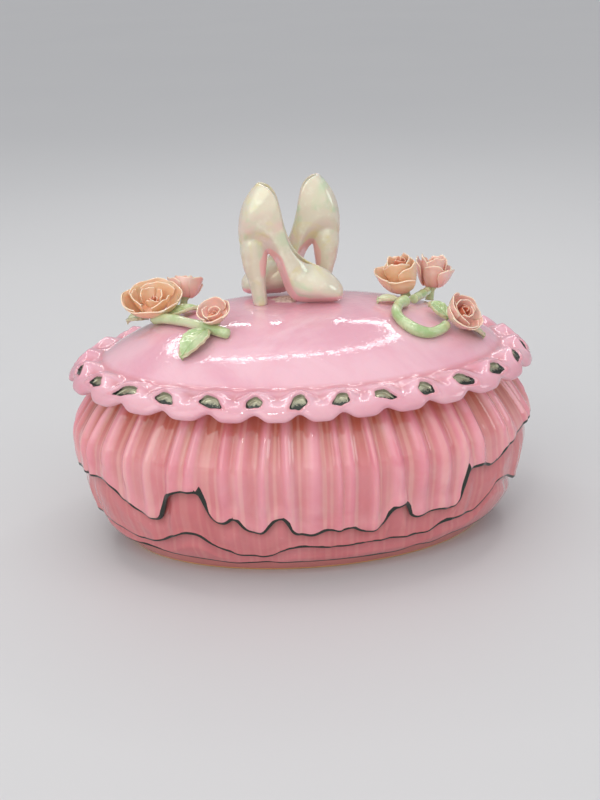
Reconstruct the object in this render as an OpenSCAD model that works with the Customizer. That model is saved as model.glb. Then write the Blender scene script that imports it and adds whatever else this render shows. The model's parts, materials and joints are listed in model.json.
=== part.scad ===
// Oval porcelain trinket box: pleated and ruffled base, lift-off domed lid with
// a scalloped border, two high-heeled shoes and two small sprays of roses.
// Millimetres, +Z up. Origin: middle of the foot, on the plane it stands on.
// +X is the long way of the oval, -Y is the side a person faces.

/* [Oval] */
// Half length of the oval through the middle of the lid border
half_len = 86; // [80:1:92]
// Half width of the oval through the middle of the lid border
half_wid = 56; // [52:1:60]

/* [Base] */
// Height of the bowl's rim above the table
rim_z = 69.7; // [69:0.1:69.7]
// Height of the bowl's inner floor
floor_z = 8; // [7:0.5:11]
// Thickness of the bowl's neck
neck_wall = 5.5; // [4:0.5:6]
// Number of pleats round the upper skirt
pleats = 54; // [40:2:60]
// How far the pleats stand out
pleat_depth = 1.7; // [0.8:0.1:2]
// How far each tier kicks out at its hem
hem_flare = 0.9; // [0.3:0.1:1.2]
// Thickness of each tier at its hem
tier_wall = 1.4; // [1.2:0.1:1.4]

/* [Lid] */
// Rise of the dome above the border
dome_rise = 16.6; // [14:0.2:19]
// Wall of the dome at its middle
dome_wall = 5; // [4:0.5:6]
// Number of scallops, each with one eyelet
scallops = 28; // [20:1:32]
// Depth of the pressed eyelets
eyelet_depth = 2.2; // [1:0.1:2.4]
// Gap between the locating ring and the bowl's mouth
lid_gap = 0.8; // [0.5:0.1:1.5]
// Height of the locating ring under the lid
ring_h = 6; // [4:0.5:8]

/* [Shoes] */
// Size of the shoes, 1 is forty-seven millimetres tall
shoe_k = 1; // [0.9:0.02:1.05]

/* [Flowers] */
// Size of all the roses, 1 is as built
rose_k = 1; // [0.85:0.05:1.05]
// Thickness of the leaves
leaf_t = 1.3; // [1:0.1:1.8]

/* [Colours] */
// Pink glaze of the lid
c_pink = "#e9aebb";
// Deeper pink glaze of the tiers
c_rose = "#dd94a0";
// Bare clay of the foot
c_clay = "#d8b08c";
// Pearl glaze of the shoes
c_pearl = "#e6dfc8";
// Peach petals
c_peach = "#e8b48c";
// Pink petals
c_petal = "#e6a090";
// Deep colour in the hearts of the roses
c_heart = "#d08060";
// Leaf green
c_leaf = "#c3cf9c";

/* [Hidden] */

lid_z = 70;                       // plane the lid rests on
dome_z = 76;                      // dome edge
dome_off = -9;                    // dome edge, measured from the border oval
mouth_off = -17.5;                // bowl's mouth
plain_n = 44;                     // steps round the plain oval pieces

// ---------------------------------------------------------------- helpers
function oval(a, off, z, k = 1) =
  [(half_len + off) * k * cos(a), (half_wid + off) * k * sin(a), z];
function ramp(x, lo, hi) = let (t = min(1, max(0, (x - lo) / (hi - lo)))) t * t * (3 - 2 * t);
function wrap(a) = a > 180 ? wrap(a - 360) : a < -180 ? wrap(a + 360) : a;
// spreads steps evenly along the oval instead of evenly in angle
function even(u) = u + 6.3 * sin(2 * u);

function strip(n, m, closed) = [for (i = [0:n - (closed ? 1 : 2)], j = [0:m - 1])
  let (a = i * m + j, b = i * m + (j + 1) % m,
       c = ((i + 1) % n) * m + (j + 1) % m, d = ((i + 1) % n) * m + j)
  each [[a, b, c], [a, c, d]]];

// A wall that runs right round: every row is the closed outline of one cross-section
module ring_mesh(rows) {
  polyhedron(points = [for (r = rows) each r],
             faces = strip(len(rows), len(rows[0]), true), convexity = 8);
}

// A solid skinned over closed loops, closed by a fan at each end
module loft_mesh(rows) {
  n = len(rows); m = len(rows[0]);
  mid0 = [for (k = [0:2]) [for (p = rows[0]) p[k]] * [for (p = rows[0]) 1] / m];
  mid1 = [for (k = [0:2]) [for (p = rows[n - 1]) p[k]] * [for (p = rows[0]) 1] / m];
  polyhedron(points = concat([for (r = rows) each r], [mid0, mid1]),
             faces = concat(strip(n, m, false),
                            [for (j = [0:m - 1]) [n * m, (j + 1) % m, j]],
                            [for (j = [0:m - 1], l = (n - 1) * m) [n * m + 1, l + j, l + (j + 1) % m]]),
             convexity = 8);
}

// ---------------------------------------------------------------- base
// Outermost line of the base in side view: height against offset from the border oval
function env(z) = lookup(z, [[0, -13.8], [4, -8.6], [9, -4.4], [14, -1.6], [22, 1.4], [30, 3.2], [37, 4],
                             [45, 4.6], [50, 4], [54, 1.4], [58, -1.2], [64, -5.8], [70, -10.4]]);

// Height of each hem round the oval (0 is the right end, -90 the front)
upper_folds = [[-180, 34], [-165, 36], [-150, 37], [-144, 31], [-137, 27], [-132, 26], [-128, 36],
               [-123, 40], [-119, 38], [-116, 28], [-111, 30], [-107, 24], [-103, 26], [-100, 30],
               [-97, 24], [-92, 22], [-89, 24], [-86, 23], [-83, 25], [-79, 21], [-75, 24],
               [-72, 31], [-69, 31], [-67, 25], [-60, 26], [-56, 24], [-54, 32], [-51, 39],
               [-45, 39], [-41, 37], [-36, 42], [-29, 45], [-17, 47], [-5, 44], [10, 41], [24, 36],
               [36, 38], [46, 31], [57, 28], [66, 33], [72, 26], [84, 24], [93, 28], [99, 31],
               [104, 25], [118, 25], [127, 30], [134, 37], [143, 35], [156, 30], [168, 32], [180, 34]];
middle_folds = [[-180, 17], [-152, 16], [-143, 14], [-134, 15], [-127, 21], [-121, 19], [-113, 12],
                [-104, 11], [-99, 16], [-83, 15], [-61, 15], [-55, 18], [-44, 18], [-41, 23],
                [-37, 27], [-28, 25], [-12, 21], [0, 20], [20, 17], [45, 15], [60, 18], [80, 14],
                [98, 17], [115, 13], [140, 15], [160, 19], [180, 17]];
function upper_hem(a) = lookup(wrap(a), upper_folds);
function middle_hem(a) = lookup(wrap(a), middle_folds);
function lower_hem(a) = 7 + 0.9 * sin(5 * a + 30) + 0.6 * sin(9 * a);
function pleat(a) = 0.5 + 0.5 * cos(pleats * a + 40 * sin(3 * a + 20) + 25 * sin(7 * a));

skirt_top = 69.4;
skirt_bend = 51;                  // height of the tier's shoulder
// One upright section through the skirt: down the pleated face and up the plain inside
function skirt_row(a) = let (hem = upper_hem(a), p = pleat(a), low = skirt_bend - hem) concat(
  [for (z = [skirt_top, skirt_top - 9, skirt_bend, skirt_bend - 0.35 * low, skirt_bend - 0.78 * low, hem])
     let (t = (skirt_top - z) / (skirt_top - hem))
     oval(a, env(z) + pleat_depth * p * (0.35 + 0.65 * ramp(t, 0, 0.5)) + hem_flare * ramp(t, 0.6, 1), z)],
  [for (z = [hem, hem + 0.15 * low, hem + 0.55 * low, skirt_bend, skirt_bend + 6.5, skirt_top])
     let (t = (skirt_top - z) / (skirt_top - hem))
     oval(a, env(z) - tier_wall + 0.1 + 0.7 * ramp(t, 0.8, 1), z)]);

module upper_skirt() {
  n = pleats * 4;
  color(c_rose) ring_mesh([for (i = [0:n - 1]) skirt_row(i * 360 / n)]);
}

middle_top = 50;
function middle_row(a) = let (hem = middle_hem(a), cover = upper_hem(a) - 1.5) concat(
  [for (t = [0, 0.3, 0.55, 0.8, 1]) let (z = middle_top + (hem - middle_top) * t)
     oval(a, env(z) - tier_wall - 0.55 + (1 + hem_flare) * ramp(cover - z, 0, cover - hem), z)],
  [for (t = [1, 0.75, 0.4, 0]) let (z = middle_top + (hem - middle_top) * t)
     oval(a, env(z) - 2 * tier_wall - 0.3 + 0.6 * ramp(t, 0.85, 1), z)]);

module middle_ruffle() {
  n = 116;
  color(c_rose) ring_mesh([for (i = [0:n - 1]) middle_row(i * 360 / n)]);
}

lower_top = 26;
function lower_row(a) = let (hem = lower_hem(a), cover = middle_hem(a) - 1) concat(
  [for (t = [0, 0.4, 0.75, 1]) let (z = lower_top + (hem - lower_top) * t)
     oval(a, env(z) - 2 * tier_wall - 0.75 + 2.9 * ramp(cover - z, 0, cover - hem), z)],
  [for (t = [1, 0.5, 0]) let (z = lower_top + (hem - lower_top) * t)
     oval(a, env(z) - 3 * tier_wall - 0.5 + 2.2 * ramp(t, 0.4, 1), z)]);

module lower_ruffle() {
  n = 96;
  color(c_rose) ring_mesh([for (i = [0:n - 1]) lower_row(i * 360 / n)]);
}

// The foot: a band under the ruffles that the bowl's floor sits in
module foot_ring() {
  prof = [[-13.8, 0], [-11.6, 3], [-9.9, 6], [-9.2, 9], [-9.6, 13.4], [-11.8, 13.4], [-13.5, 8],
          [-16.6, 4], [-19, 4], [-19, 0]];
  color(c_clay) ring_mesh([for (i = [0:plain_n - 1]) [for (p = prof) oval(i * 360 / plain_n, p[0], p[1])]]);
}

// The bowl: one cast oval wall with a floor and a narrower neck the lid sits on
module bowl() {
  outer = [[-19.4, 4.2, 0.05], [-19.4, 4.2, 1], [-16.9, 4.2, 1], [-14, 8.1, 1], [-12.2, 13.6, 1],
           [-7.9, 13.9, 1], [-4.3, 21, 1], [-2.9, 26.2, 1], [-1.7, 26.6, 1], [0, 37, 1], [0.35, 45, 1],
           [0.3, 50.2, 1], [1.5, 51, 1], [-2.9, 57.8, 1], [-7.4, 63.8, 1], [-12.2, rim_z, 1]];
  inner = [[mouth_off, rim_z, 1], [mouth_off, 64, 1], [-8, 56, 1], [-4.6, 46, 1], [-5, 34, 1],
           [-8.5, 22, 1], [-14.5, floor_z + 5, 1], [-21, floor_z, 1], [-21, floor_z, 0.05]];
  color(c_pink) loft_mesh([for (p = concat(outer, inner)) let (in = p[0] == mouth_off ? neck_wall - 5.5 : 0)
    [for (i = [0:plain_n - 1]) oval(i * 360 / plain_n, p[0] - in, p[1], p[2])]]);
}

// ---------------------------------------------------------------- lid
function dome_top(k, rise) = dome_z + rise * max(0, 1 - pow(k, 3.2));
// Height of the dome's skin at a point
function skin(x, y) =
  let (k = norm([x / (half_len + dome_off), y / (half_wid + dome_off)])) dome_top(k, dome_rise);

module lid_dome() {
  outs = [0.03, 0.2, 0.4, 0.58, 0.74, 0.86, 0.95, 1];
  ins = [0.85, 0.78, 0.6, 0.35, 0.03];
  rows = concat(
    [for (k = outs) [for (i = [0:plain_n - 1]) oval(i * 360 / plain_n, dome_off, dome_top(k, dome_rise), k)]],
    [[for (i = [0:plain_n - 1]) oval(i * 360 / plain_n, dome_off, lid_z + 2)],
     [for (i = [0:plain_n - 1]) oval(i * 360 / plain_n, dome_off - 2.5, lid_z)],
     [for (i = [0:plain_n - 1]) oval(i * 360 / plain_n, mouth_off - 4, lid_z)]],
    [for (k = ins) [for (i = [0:plain_n - 1])
       oval(i * 360 / plain_n, mouth_off - 4.5, lid_z + 1.5 + (dome_z + dome_rise - dome_wall - lid_z - 1.5)
            * pow(1 - k * k / 0.78, 0.5), k / 0.86)]]);
  color(c_pink) loft_mesh(rows);
}

// Cross-section of the border: w is 1 on an eyelet's brow and -1 between two, the lip is
// notched under each eyelet and full between, d is how deep the eyelet is pressed in here
function border_row(a, w, d) = let (n = 2 * pow(0.5 + 0.5 * w, 2.4) - 0.75) [
  oval(a, dome_off + 0.1, dome_z - 0.1), oval(a, -5.8, 75.4 + 0.7 * w), oval(a, -2.8, 75.8 + 1.1 * w),
  oval(a, -0.8, 75 + 0.9 * w), oval(a, 1.2 - 0.6 * d, 73.5 + 0.4 * w - 0.8 * d),
  oval(a, 2.9 - 0.3 * n, 72.1 + 0.2 * n), oval(a, 4.1 - 0.9 * n, 70 + 0.7 * n),
  oval(a, 2.6 - 1.2 * n, 68.2 + 1.2 * n), oval(a, -2.2, 70.2 + 0.4 * n), oval(a, dome_off + 0.1, 72.2)];

module lid_ruffle() {
  steps = [-180, -118, -72, -42, -15, 15, 42, 72, 118];
  color(c_pink) ring_mesh([for (s = [0:scallops - 1], ph = steps)
    let (a = even((s + 0.5 + ph / 360) * 360 / scallops - 90),
         d = eyelet_depth * (abs(ph) < 30 ? 1 : abs(ph) < 50 ? 0.75 : 0))
    border_row(a, cos(ph), d)]);
}

module lid_locating_ring() {
  o = mouth_off - lid_gap;
  prof = [[o, lid_z], [o, lid_z - ring_h + 1], [o - 1, lid_z - ring_h],
          [o - 2.6, lid_z - ring_h], [o - 3, lid_z]];
  color(c_pink) ring_mesh([for (i = [0:plain_n - 1]) [for (p = prof) oval(i * 360 / plain_n, p[0], p[1])]]);
}

// ---------------------------------------------------------------- shoes
// One slip-cast high-heeled shoe standing on its heel and sole, toe to +X.
// Each station: lower edge x z, side x z, upper edge x z, half widths at the
// three, and how open the shoe is there (0 solid, 1 fully hollow)
shoe_stations = [
  [-3, 17, -8.2, 36.5, 3.4, 47.2, 0.5, 0.8, 0.7, 0], [-2.2, 18, -6.8, 36.5, 4.8, 47, 2.4, 3.8, 2.6, 0.05],
  [-0.2, 19.2, -3.4, 35.6, 7.2, 45.8, 3.4, 5.4, 3.8, 0.9], [3, 20.2, 1.6, 34, 10, 42.6, 3.8, 6.2, 4.9, 1],
  [6, 20, 7.4, 29.8, 11.8, 36, 4, 6.4, 5.5, 1], [9.2, 16, 11, 24, 13, 29.6, 4, 6.5, 5.6, 1],
  [11, 10.6, 13.4, 17.6, 15, 23.4, 4.3, 6.6, 5.4, 1], [13, 4.8, 15.8, 11.8, 17.6, 19, 5, 6.9, 5, 0.9],
  [17, 0.8, 19.6, 8, 21.4, 16.4, 5.7, 7.3, 2.6, 0.5], [22, 0, 23.8, 7.3, 24.8, 15, 5.9, 7.3, 1, 0],
  [28, 0, 29, 6, 29.2, 12.6, 5.1, 6.4, 0.8, 0], [32, 0.2, 32.8, 4.7, 32.8, 9.2, 3.5, 4.5, 0.7, 0],
  [34.8, 1.8, 35.1, 4, 34.8, 6.2, 1.2, 1.6, 0.4, 0]];
shoe_wall = 1.3;
function shoe_at(s, t) = let (g = s[6] + (s[7] - s[6]) * min(1, t / 0.45), h = (t - 0.45) / 0.55)
  [(1 - t) * (1 - t) * s[0] + 2 * t * (1 - t) * s[2] + t * t * s[4],
   sin(min(90, t * 210)) * (t < 0.45 ? g : s[7] + (s[8] - s[7]) * h * h),
   (1 - t) * (1 - t) * s[1] + 2 * t * (1 - t) * s[3] + t * t * s[5]];
function shoe_in(s, t) = let (g = s[9], f = 1 - (1 - t) * (g * 0.8 + 0.05), p = shoe_at(s, f))
  [p[0], t * (g * max(0.3, p[1] - shoe_wall) + (1 - g) * s[8] * 0.6), p[2]];
// A closed U across the shoe: down one side, up the other and back along the inside
function shoe_loop(s) = concat(
  [for (t = [1, 0.8, 0.58, 0.36, 0.14]) let (p = shoe_at(s, t)) [p[0], -p[1], p[2]]],
  [for (t = [0, 0.14, 0.36, 0.58, 0.8, 1]) shoe_at(s, t)],
  [for (t = [1, 0.66, 0.33, 0]) shoe_in(s, t)],
  [for (t = [0.33, 0.66, 1]) let (p = shoe_in(s, t)) [p[0], -p[1], p[2]]]);

module shoe_body() {
  loft_mesh([for (i = [len(shoe_stations) - 1:-1:0]) shoe_loop(shoe_stations[i])]);
}

module shoe_heel() {
  loft_mesh([for (h = [[0, 2.8, 2.8, 2.6], [1, 2.8, 2.85, 2.65], [8, 2, 3.3, 2.7], [14, 1.4, 4.3, 3.1],
                       [18, 1.4, 4.7, 3.4], [22, 1.6, 3.8, 3]])
    [for (a = [0:36:324]) [h[1] + h[2] * cos(a), -h[3] * sin(a), h[0]]]]);
}

module shoe() {
  scale(shoe_k) { shoe_body(); shoe_heel(); }
}

front_shoe_pos = [-18.4, 2.2];
rear_shoe_pos = [12.9, 13];
module stand(at, turn) {
  translate([at[0], at[1], dome_z + dome_rise - 0.1]) rotate([0, 0, turn]) shoe();
}
module front_shoe() { color(c_pearl) stand(front_shoe_pos, -5); }
module rear_shoe() { color(c_pearl) stand(rear_shoe_pos, 173); }

// Small pad of clay left between the two shoes where they are stuck down
module shoe_clay_pad() {
  top = dome_z + dome_rise;
  color(c_pearl) translate([-3.5, 6.5, 0])
    loft_mesh([for (r = [[1, top - 0.6], [1.02, top + 0.3], [0.8, top + 1], [0.3, top + 1.3]])
      [for (a = [0:30:330]) [7.5 * r[0] * cos(a), 4 * r[0] * sin(a), r[1]]]]);
}

// ---------------------------------------------------------------- roses
// Where each rose sits: x, y, height of its base over the dome's skin, the direction
// it leans to, how far it leans, its spin, its radius and how drawn-up it is
left_large = [-56.5, 7, 5.8, -110, 14, 0, 11.2, 1];
left_rear = [-44.5, 17, 5.6, 67, 22, 40, 7.5, 1.2];
left_small = [-34, -17.5, 4.8, -120, 26, 15, 6.8, 1];
right_large = [41.8, 8, 4.6, -165, 12, 20, 10, 1.2];
right_rear = [54.8, 17, 7.6, 50, 14, 70, 8.4, 1.4];
right_small = [57.8, -16, 4.8, -48, 46, 0, 8.2, 1];

module sit(s) {
  translate([s[0], s[1], skin(s[0], s[1]) + s[2]]) rotate([0, 0, s[3]]) rotate([0, s[4], 0])
    rotate([0, 0, s[5] - s[3]]) scale([1, 1, s[7]]) children();
}
// Rolled centre of a rose and the stalk under it; root is how far the stalk goes down
module rose_heart(r, root = 0.45) {
  loft_mesh([for (h = [[-root, 0.2, 0], [0.3, 0.22, 10], [0.58, 0.31, 25], [0.8, 0.27, 45], [0.95, 0.12, 60]])
    [for (a = [0:36:324]) let (q = h[1] * (1 + 0.16 * cos(a)))
      r * [q * cos(a + h[2]), -q * sin(a + h[2]), h[0]]]]);
}
// A wrap of overlapping petals: each one starts inside the one before
module petal_wrap(r, petals, n, prof, curl) {
  ring_mesh([for (i = [0:n - 1]) let (
      a = i * 360 / n, f = petals * a / 360, s = f - floor(f), lobe = sin(180 * s))
    [for (p = prof) let (k = p[2])
      r * [(p[0] + k * (curl * lobe + 0.07 * (s - 0.5))) * cos(a),
           (p[0] + k * (curl * lobe + 0.07 * (s - 0.5))) * sin(a), p[1] + k * 0.14 * (lobe - 0.5)]]]);
}
module rose_inner(r) {
  petal_wrap(r, 3, 18, [[0.36, 0.02, 0], [0.52, 0.42, 0.3], [0.62, 0.84, 1],
                        [0.53, 0.84, 1], [0.43, 0.42, 0.3], [0.27, 0.02, 0]], 0.03);
}
module rose_outer(r) {
  petal_wrap(r, 5, 25, [[0.42, -0.06, 0], [0.74, 0.24, 0.3], [0.94, 0.52, 0.8], [0.98, 0.62, 1],
                        [0.88, 0.64, 1], [0.66, 0.34, 0.4], [0.38, 0, 0]], 0.05);
}

module left_large_rose_heart() { color(c_heart) sit(left_large) rose_heart(left_large[6] * rose_k); }
module left_large_rose_inner_petals() { color(c_peach) sit(left_large) rose_inner(left_large[6] * rose_k); }
module left_large_rose_outer_petals() { color(c_peach) sit(left_large) rose_outer(left_large[6] * rose_k); }
module left_rear_rose_heart() { color(c_heart) sit(left_rear) rose_heart(left_rear[6] * rose_k); }
module left_rear_rose_inner_petals() { color(c_petal) sit(left_rear) rose_inner(left_rear[6] * rose_k); }
module left_rear_rose_outer_petals() { color(c_petal) sit(left_rear) rose_outer(left_rear[6] * rose_k); }
module left_small_rose_heart() { color(c_heart) sit(left_small) rose_heart(left_small[6] * rose_k); }
module left_small_rose_inner_petals() { color(c_petal) sit(left_small) rose_inner(left_small[6] * rose_k); }
module left_small_rose_outer_petals() { color(c_petal) sit(left_small) rose_outer(left_small[6] * rose_k); }
module right_large_rose_heart() { color(c_heart) sit(right_large) rose_heart(right_large[6] * rose_k, 0.32); }
module right_large_rose_inner_petals() { color(c_peach) sit(right_large) rose_inner(right_large[6] * rose_k); }
module right_large_rose_outer_petals() { color(c_petal) sit(right_large) rose_outer(right_large[6] * rose_k); }
module right_rear_rose_heart() { color(c_heart) sit(right_rear) rose_heart(right_rear[6] * rose_k, 0.53); }
module right_rear_rose_inner_petals() { color(c_petal) sit(right_rear) rose_inner(right_rear[6] * rose_k); }
module right_rear_rose_outer_petals() { color(c_petal) sit(right_rear) rose_outer(right_rear[6] * rose_k); }
module right_small_rose_heart() { color(c_heart) sit(right_small) rose_heart(right_small[6] * rose_k, 0.3); }
module right_small_rose_inner_petals() { color(c_petal) sit(right_small) rose_inner(right_small[6] * rose_k); }
module right_small_rose_outer_petals() { color(c_petal) sit(right_small) rose_outer(right_small[6] * rose_k); }

// ---------------------------------------------------------------- leaves and stems
// A pressed leaf with a middle crease: root at x y, then direction, length,
// width, root and tip heights over the skin
module leaf(x, y, dir, len, wid, h0, h1) {
  function at(s, side) = [x + len * s * cos(dir) - side * sin(dir), y + len * s * sin(dir) + side * cos(dir)];
  edge = [[-1, 0.5, 0.6], [-0.5, 0.1, 0.5], [0, -0.5, 0.5], [0.5, 0.1, 0.5],
          [1, 0.5, 0.6], [0.5, 0, -0.5], [0, -0.2, -0.5], [-0.5, 0, -0.5]];
  loft_mesh([for (s = [0.02, 0.16, 0.36, 0.6, 0.82, 0.99]) let (
      w = wid / 2 * (0.1 + 0.9 * pow(sin(180 * pow(s, 0.8)), 0.75)), c = at(s, 0),
      h = skin(c[0], c[1]) + h0 + (h1 - h0) * s + 0.9 * sin(180 * s))
    [for (q = edge) let (p = at(s, q[0] * w)) [p[0], p[1], h + q[1] * 0.9 + q[2] * leaf_t]]]);
}
module left_front_leaf() { color(c_leaf) leaf(-37.6, -21.5, -141, 12.6, 11.5, 2.9, 1.7); }
module left_middle_leaf() { color(c_leaf) leaf(-51.2, 0.3, 10, 12, 7.5, 2.4, 1.8); }
module left_back_leaf() { color(c_leaf) leaf(-58.9, 8, 178, 8.5, 10, 3, 6); }
module right_flat_leaf() { color(c_leaf) leaf(38.5, -3.5, 178, 9.5, 5, 1.3, 1.2); }
module right_inner_leaf() { color(c_leaf) leaf(54.5, -14.5, 128, 9, 7, 2.2, 3.8); }
module right_end_leaf() { color(c_leaf) leaf(60.4, -15, 0, 8.5, 10, 1.4, 1.5); }

// A rolled stem laid along points of x, y and height over the skin
module stem(path, r) {
  n = len(path);
  loft_mesh([for (i = [0:n - 1]) let (
      p = path[i], a = path[max(0, i - 1)], b = path[min(n - 1, i + 1)],
      d = [b[0] - a[0], b[1] - a[1]] / norm([b[0] - a[0], b[1] - a[1]]),
      q = r * (i == 0 || i == n - 1 ? 0.7 : 1))
    [for (t = [0:45:315])
      [p[0] - d[1] * q * cos(t), p[1] + d[0] * q * cos(t), skin(p[0], p[1]) + p[2] - q * sin(t)]]]);
}
module left_stem() {
  color(c_leaf) stem([[-57, 1.5, 3], [-54.5, -0.5, 2.9], [-51, -4, 2.6], [-45.5, -10, 2.3], [-41, -15, 2.2],
                      [-36.5, -19.5, 2.1], [-32, -23.5, 2.1], [-29.5, -25.5, 2.1]], 2);
}
module right_loop_stem() {
  color(c_leaf) stem([[40.5, -5, 2.6], [37.5, -8, 2.3], [35.5, -12, 2.1], [34.2, -17, 2.1], [35.2, -22, 2.1],
                      [39.5, -26, 2.1], [45, -26.3, 2.2], [50, -23, 2.4], [53, -19.5, 2.7]], 2.1);
}
module right_short_stem() {
  color(c_leaf) stem([[44, -1, 2.2], [45, 0.5, 2.4], [48, 5, 3], [50.5, 9, 3.6], [52.4, 13.2, 4.4]], 1.7);
}

// ---------------------------------------------------------------- build
bowl();
foot_ring();
lower_ruffle();
middle_ruffle();
upper_skirt();
lid_dome();
lid_ruffle();
lid_locating_ring();
front_shoe();
rear_shoe();
shoe_clay_pad();
left_large_rose_heart();
left_large_rose_inner_petals();
left_large_rose_outer_petals();
left_rear_rose_heart();
left_rear_rose_inner_petals();
left_rear_rose_outer_petals();
left_small_rose_heart();
left_small_rose_inner_petals();
left_small_rose_outer_petals();
right_large_rose_heart();
right_large_rose_inner_petals();
right_large_rose_outer_petals();
right_rear_rose_heart();
right_rear_rose_inner_petals();
right_rear_rose_outer_petals();
right_small_rose_heart();
right_small_rose_inner_petals();
right_small_rose_outer_petals();
left_stem();
left_front_leaf();
left_middle_leaf();
left_back_leaf();
right_loop_stem();
right_short_stem();
right_flat_leaf();
right_inner_leaf();
right_end_leaf();
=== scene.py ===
"""Looks of the oval porcelain trinket box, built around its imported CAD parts."""
import json
import math

import bpy
import numpy as np
from mathutils import Matrix, Vector

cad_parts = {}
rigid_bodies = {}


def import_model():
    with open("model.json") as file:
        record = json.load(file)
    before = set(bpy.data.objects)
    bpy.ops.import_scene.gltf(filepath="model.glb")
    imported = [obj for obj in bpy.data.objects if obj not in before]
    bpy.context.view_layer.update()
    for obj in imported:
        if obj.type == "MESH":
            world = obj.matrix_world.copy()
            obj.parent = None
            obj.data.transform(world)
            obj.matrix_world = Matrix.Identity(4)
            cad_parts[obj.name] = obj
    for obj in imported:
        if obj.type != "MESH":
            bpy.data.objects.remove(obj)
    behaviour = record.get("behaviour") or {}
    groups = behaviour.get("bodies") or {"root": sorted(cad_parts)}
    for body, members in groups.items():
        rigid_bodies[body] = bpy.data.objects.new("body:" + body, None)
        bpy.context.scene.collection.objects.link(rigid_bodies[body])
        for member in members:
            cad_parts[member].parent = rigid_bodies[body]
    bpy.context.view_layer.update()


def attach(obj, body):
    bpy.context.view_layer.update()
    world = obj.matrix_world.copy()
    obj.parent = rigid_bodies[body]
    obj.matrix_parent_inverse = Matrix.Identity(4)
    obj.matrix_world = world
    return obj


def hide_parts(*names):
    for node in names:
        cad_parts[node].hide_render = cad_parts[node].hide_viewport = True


MM = 0.001

# ---- oval and heights, in millimetres, the same as the CAD's
HALF_LEN, HALF_WID = 86.0, 56.0
DOME_Z, DOME_OFF, DOME_RISE, DOME_POWER = 76.0, -9.0, 16.6, 3.2
MOUTH_OFF = -17.5
SCALLOPS = 28
PLEATS = 54
SKIRT_TOP, MIDDLE_TOP, LOWER_TOP = 69.4, 50.0, 26.0
EYELET_PITCH, EYELET_HALF_WIDTH, EYELET_HALF_HEIGHT = 16.1, 3.45, 2.8
LEAF_WALL = 1.25
ENVELOPE = ([0, 4, 9, 14, 22, 30, 37, 45, 50, 54, 58, 64, 70],
            [-13.8, -8.6, -4.4, -1.6, 1.4, 3.2, 4.0, 4.6, 4.0, 1.4, -1.2, -5.8, -10.4])


# ---- small maths
def ramp(x, lo, hi):
    t = np.clip((x - lo) / (hi - lo), 0, 1)
    return t * t * (3 - 2 * t)


def unit(x):
    return np.clip(x, 0, 1)


def bell(x, width):
    return np.exp(-(x / width) ** 2)


def env(z):
    """Outermost line of the base, softened so that no corner of the table shows."""
    z = np.asarray(z, float)
    return sum(np.interp(z + d, *ENVELOPE) * w
               for d, w in ((-4, .1), (-2, .2), (0, .4), (2, .2), (4, .1)))


def even(u):
    """Angle of the oval's parameter for which equal steps of u run about equal lengths."""
    return u + 6.3 * np.sin(np.radians(2 * u))


def oval(a, off, z, k=1.0):
    """Points at angle a on the oval grown by off and scaled by k, at height z."""
    a, off, z, k = np.broadcast_arrays(np.radians(a), off, z, k)
    return np.stack([(HALF_LEN + off) * k * np.cos(a), (HALF_WID + off) * k * np.sin(a), z], -1)


def around(a, folds, soft=0.0):
    """Value of a closed list of (angle, value) at angle a, rounded off by soft degrees."""
    f = np.array(folds, float)
    x = np.concatenate([f[:, 0] - 360, f[:, 0], f[:, 0] + 360])
    y = np.tile(f[:, 1], 3)
    a = (np.asarray(a, float) + 180) % 360 - 180
    if not soft:
        return np.interp(a, x, y)
    steps = np.linspace(-1, 1, 7) * soft
    return sum(np.interp(a + d, x, y) for d in steps) / len(steps)


def spline(points, n):
    """Catmull-Rom through points of shape (k, ..., dims), sampled n times along the first axis."""
    p = np.asarray(points, float)
    p = np.concatenate([2 * p[:1] - p[1:2], p, 2 * p[-1:] - p[-2:-1]])
    t = np.linspace(0, len(p) - 3 - 1e-9, n)
    i = t.astype(int)
    f = (t - i).reshape((-1,) + (1,) * (p.ndim - 1))
    a, b, c, d = p[i], p[i + 1], p[i + 2], p[i + 3]
    return 0.5 * (2 * b + (c - a) * f + (2 * a - 5 * b + 4 * c - d) * f ** 2
                  + (3 * b - a - 3 * c + d) * f ** 3)


def skin(x, y):
    """Height of the dome at a point."""
    k = np.sqrt((x / (HALF_LEN + DOME_OFF)) ** 2 + (y / (HALF_WID + DOME_OFF)) ** 2)
    return DOME_Z + DOME_RISE * unit(1 - k ** DOME_POWER)


# ---- meshes
def add_object(name, data):
    ob = bpy.data.objects.new(name, data)
    bpy.context.scene.collection.objects.link(ob)
    return ob


def mesh_object(name, verts, faces, attrs=None):
    """An object from vertices in mm and a list of equal-length face arrays."""
    verts = np.asarray(verts, float).reshape(-1, 3)
    vol = 0.0
    for f in faces:
        a = verts[f[:, 0]]
        for k in range(1, f.shape[1] - 1):
            vol += np.einsum("ij,ij->i", a, np.cross(verts[f[:, k]], verts[f[:, k + 1]])).sum()
    if vol < 0:
        faces = [f[:, ::-1] for f in faces]
    me = bpy.data.meshes.new(name)
    me.vertices.add(len(verts))
    me.vertices.foreach_set("co", (verts * MM).ravel())
    loops = np.concatenate([f.ravel() for f in faces])
    sizes = np.concatenate([np.full(len(f), f.shape[1]) for f in faces])
    me.loops.add(len(loops))
    me.loops.foreach_set("vertex_index", loops)
    me.polygons.add(len(sizes))
    me.polygons.foreach_set("loop_start", np.concatenate([[0], np.cumsum(sizes)[:-1]]))
    me.polygons.foreach_set("use_smooth", np.ones(len(sizes), bool))
    me.update(calc_edges=True)
    me.validate()
    ob = add_object(name, me)
    for key, val in (attrs or {}).items():
        add_attr(ob, key, np.asarray(val, float).ravel())
    return ob


def add_attr(ob, key, values):
    at = ob.data.attributes.new(key, "FLOAT", "POINT")
    at.data.foreach_set("value", np.ascontiguousarray(values, dtype=np.float32))


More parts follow.
